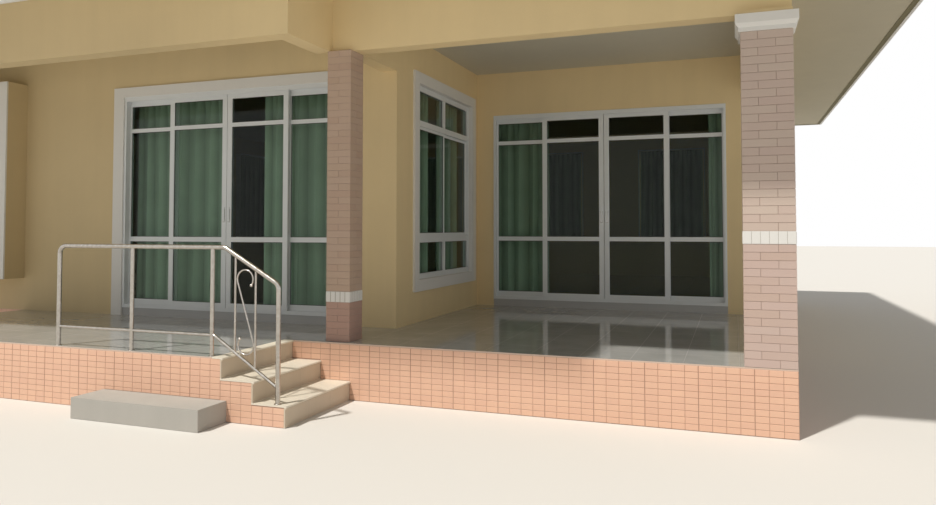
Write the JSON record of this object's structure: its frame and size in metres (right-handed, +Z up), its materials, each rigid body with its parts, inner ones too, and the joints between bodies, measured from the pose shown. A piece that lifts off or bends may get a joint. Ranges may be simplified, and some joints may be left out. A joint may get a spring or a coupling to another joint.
{
  "type": "bungalow",
  "caption": "Single-storey bungalow with hipped tiled roof and wing, raised roofed terrace, brick columns, side steps with handrail and sliding glass doors",
  "frame": {"origin": "middle of the outline's bottom face, at ground level", "axes": "+X along the front to the right as seen from the street, +Y from the front towards the back, +Z up"},
  "size_m": [14.03, 13.705, 7.9456],
  "materials": {
    "floor_concrete": "matte",
    "brick_tile": "satin",
    "floor_tile": "polished",
    "step_tile": "satin",
    "face_brick": "matte",
    "white_render": "matte",
    "cream_render": "matte",
    "white_aluminium": "satin",
    "window_glass": "polished",
    "curtain_cloth": "woven",
    "stainless_steel": "brushed",
    "lamp_white": "satin",
    "ceiling_board": "matte",
    "white_board": "matte",
    "roof_tile": "matte"
  },
  "bodies": {
    "house": {"house_floor": "floor_concrete", "terrace_base": "brick_tile", "landing_base": "brick_tile", "terrace_tiles": "floor_tile", "step_core": "brick_tile", "step_tiles": "step_tile", "front_block": "floor_concrete", "column_right": "face_brick", "column_left": "face_brick", "column_trim": "white_render", "front_beam": "cream_render", "side_beams": "cream_render", "wing_beam": "cream_render", "end_walls": "cream_render", "rear_wall": "cream_render", "terrace_wall_piers": "cream_render", "door_curbs": "floor_concrete", "side_wall_piers": "cream_render", "wall_bands": "cream_render", "porch_wall_piers": "cream_render", "bay_box": "cream_render", "opening_trims": "white_render", "terrace_door_frame": "white_aluminium", "porch_door_frame": "white_aluminium", "window_frames": "white_aluminium", "sash_pairs": "white_aluminium", "fixed_glass": "window_glass", "curtains": "curtain_cloth", "handrail": "stainless_steel", "handrail_scroll": "stainless_steel", "lamp_body": "lamp_white", "lamp_diffuser": "lamp_white", "ceilings": "ceiling_board", "eave_soffits": "ceiling_board", "fascia": "white_board", "roof_tiles": "roof_tile", "ridge_caps": "roof_tile"},
    "terrace_left": {"terrace_leaf_left": "white_aluminium", "terrace_glass_left": "window_glass"},
    "terrace_right": {"terrace_leaf_right": "white_aluminium", "terrace_glass_right": "window_glass"},
    "porch_left": {"porch_leaf_left": "white_aluminium", "porch_glass_left": "window_glass"},
    "porch_right": {"porch_leaf_right": "white_aluminium", "porch_glass_right": "window_glass"}
  },
  "joints": [
    {"name": "terrace_left_slide", "type": "slide", "parent": "house", "child": "terrace_left", "axis": [1, 0, 0], "range_m": [-0.62, 0]},
    {"name": "terrace_right_slide", "type": "slide", "parent": "house", "child": "terrace_right", "axis": [1, 0, 0], "range_m": [0, 0.62]},
    {"name": "porch_left_slide", "type": "slide", "parent": "house", "child": "porch_left", "axis": [1, 0, 0], "range_m": [-0.62, 0]},
    {"name": "porch_right_slide", "type": "slide", "parent": "house", "child": "porch_right", "axis": [1, 0, 0], "range_m": [0, 0.62]}
  ]
}
